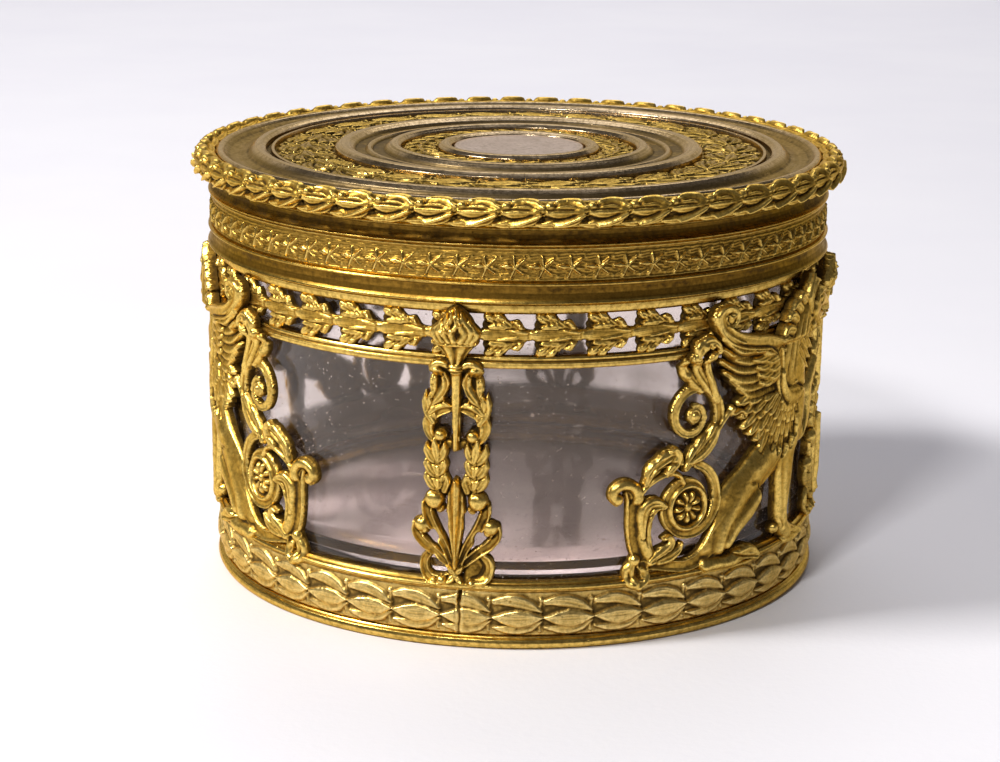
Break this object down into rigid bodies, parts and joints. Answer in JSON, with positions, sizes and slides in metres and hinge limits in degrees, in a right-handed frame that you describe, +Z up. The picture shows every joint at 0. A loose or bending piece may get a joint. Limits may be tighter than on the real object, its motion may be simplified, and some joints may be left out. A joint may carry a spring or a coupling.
{
  "type": "round decorative box",
  "caption": "Round keepsake box: a thick glass cup in a pierced gilt mount of griffins, torches and laurel, with a turned lift-off metal lid.",
  "frame": {"origin": "middle of the underside, where the foot ring stands on the table", "axes": "+Z up through the middle of the lid; -Y towards the front torch, with the seam of the laurel band below it"},
  "size_m": [0.098, 0.098, 0.0642],
  "materials": {
    "gilt_cast": "gilt castings with brown patina in the recesses",
    "gilt_turned": "gilt turned and rolled rings, rubbed bright on the edges",
    "gilt_lid_top": "duller brown gilt with turning lines and chased leaf bands",
    "glass": "clear old glass with dust, fine scratches and a faint violet tint"
  },
  "bodies": {
    "cage": {"foot_ring": "gilt_turned", "base_laurel_band": "gilt_cast", "base_moulding": "gilt_turned", "glass_cup": "glass", "gallery_lower_rail": "gilt_turned", "gallery_branch": "gilt_cast", "gallery_top_rail": "gilt_turned", "torch_front": "gilt_cast", "torch_right": "gilt_cast", "torch_back": "gilt_cast", "torch_left": "gilt_cast", "griffin_front_right": "gilt_cast", "griffin_front_left": "gilt_cast", "griffin_back_right": "gilt_cast", "griffin_back_left": "gilt_cast"},
    "lid": {"lid_collar": "gilt_turned", "lid_lip_ring": "gilt_turned", "lid_star_band": "gilt_turned", "lid_cove_ring": "gilt_turned", "lid_laurel_rim": "gilt_cast", "lid_top_plate": "gilt_lid_top", "lid_centre_disc": "gilt_lid_top", "lid_inner_leaf_band": "gilt_lid_top", "lid_outer_leaf_band": "gilt_lid_top"}
  },
  "joints": [
    {"name": "lid_lift", "type": "slide", "parent": "cage", "child": "lid", "axis": [0, 0, 1], "range_m": [0, 0.04]}
  ]
}
